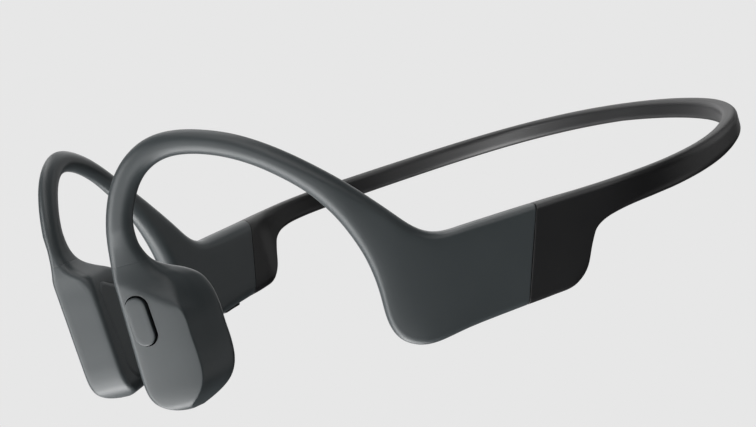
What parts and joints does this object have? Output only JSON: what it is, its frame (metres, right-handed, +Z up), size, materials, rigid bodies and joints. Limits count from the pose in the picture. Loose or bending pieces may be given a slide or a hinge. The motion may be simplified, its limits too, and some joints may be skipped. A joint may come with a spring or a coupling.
{
  "type": "bone conduction headphones",
  "caption": "Wireless bone conduction headphones: a springy neckband joins slim housings, ear hooks and rounded pods with flat outer faces and skin contact pads.",
  "frame": {"origin": "centre of the bounding box in plan, at the height of the pods' lowest points", "axes": "+Z up as worn, -Y the way the wearer faces, +X towards the wearer's left side, where the multifunction button is"},
  "size_m": [0.1288, 0.1296, 0.0474],
  "materials": {
    "shell_grey": "satin, soft touch",
    "silicone_black": "matte silicone",
    "pad_grey": "matte silicone",
    "trim_black": "matte",
    "spring_wire": "drawn",
    "cable_sheath": "matte",
    "steel": "satin",
    "magnet": "plated",
    "coil_copper": "enamelled wire",
    "circuit_board": "solder mask",
    "battery_foil": "foil",
    "contact_gold": "plated",
    "lens_white": "translucent"
  },
  "bodies": {
    "neckband": {"neckband_cover": "silicone_black", "neckband_wire": "spring_wire", "neckband_cable": "cable_sheath"},
    "left_arm": {"left_tail_cap": "silicone_black", "left_ear_hook": "shell_grey", "left_hook_wire": "spring_wire", "left_hook_cable": "cable_sheath", "left_housing_frame": "trim_black", "left_wire_ferrule": "steel", "left_pod_shell": "shell_grey", "left_contact_pad": "pad_grey", "left_driver_bracket": "trim_black", "left_driver_coil": "coil_copper", "left_driver_spring": "steel", "button_seal": "trim_black", "button_switch": "steel", "button_board": "circuit_board", "battery_cell": "battery_foil", "battery_board": "circuit_board"},
    "right_arm": {"right_tail_cap": "silicone_black", "right_ear_hook": "shell_grey", "right_hook_wire": "spring_wire", "right_hook_cable": "cable_sheath", "right_housing_frame": "trim_black", "right_wire_ferrule": "steel", "right_pod_shell": "shell_grey", "right_contact_pad": "pad_grey", "right_driver_bracket": "trim_black", "right_driver_coil": "coil_copper", "right_driver_spring": "steel", "volume_up_switch": "steel", "volume_down_switch": "steel", "main_board": "circuit_board", "shield_can": "steel", "microphone": "steel", "charging_port": "trim_black", "charging_pin_front": "contact_gold", "charging_pin_rear": "contact_gold", "status_led": "lens_white"},
    "left_driver_mass": {"left_driver_yoke": "steel", "left_driver_magnet": "magnet", "left_driver_plate": "steel"},
    "right_driver_mass": {"right_driver_yoke": "steel", "right_driver_magnet": "magnet", "right_driver_plate": "steel"},
    "multifunction_button": {"multifunction_button": "shell_grey"},
    "volume_up_key": {"volume_up_key": "trim_black"},
    "volume_down_key": {"volume_down_key": "trim_black"}
  },
  "joints": [
    {"name": "left_arm_flex", "type": "hinge", "parent": "neckband", "child": "left_arm", "pos_m": [0, 0.06331, 0.01875], "axis": [0, 0, 1], "range_deg": [-4, 25], "stiffness_Nm_per_rad": 0.18, "deforming": ["neckband_cover", "neckband_wire", "neckband_cable"]},
    {"name": "right_arm_flex", "type": "hinge", "parent": "neckband", "child": "right_arm", "pos_m": [0, 0.06331, 0.01875], "axis": [0, 0, -1], "range_deg": [-4, 25], "stiffness_Nm_per_rad": 0.18, "deforming": ["neckband_cover", "neckband_wire", "neckband_cable"]},
    {"name": "multifunction_press", "type": "slide", "parent": "left_arm", "child": "multifunction_button", "axis": [-0.7431, 0.6691, 0], "range_m": [0, 0.0004], "stiffness_N_per_m": 200},
    {"name": "volume_up_press", "type": "slide", "parent": "right_arm", "child": "volume_up_key", "axis": [0, 0, 1], "range_m": [0, 0.0004], "stiffness_N_per_m": 200},
    {"name": "volume_down_press", "type": "slide", "parent": "right_arm", "child": "volume_down_key", "axis": [0, 0, 1], "range_m": [0, 0.0004], "stiffness_N_per_m": 200},
    {"name": "left_driver_travel", "type": "slide", "parent": "left_arm", "child": "left_driver_mass", "axis": [0.7431, -0.6691, 0], "range_m": [-0.0002, 0.0002], "stiffness_N_per_m": 590, "deforming": ["left_driver_spring"]},
    {"name": "right_driver_travel", "type": "slide", "parent": "right_arm", "child": "right_driver_mass", "axis": [-0.7431, -0.6691, 0], "range_m": [-0.0002, 0.0002], "stiffness_N_per_m": 590, "deforming": ["right_driver_spring"]}
  ]
}
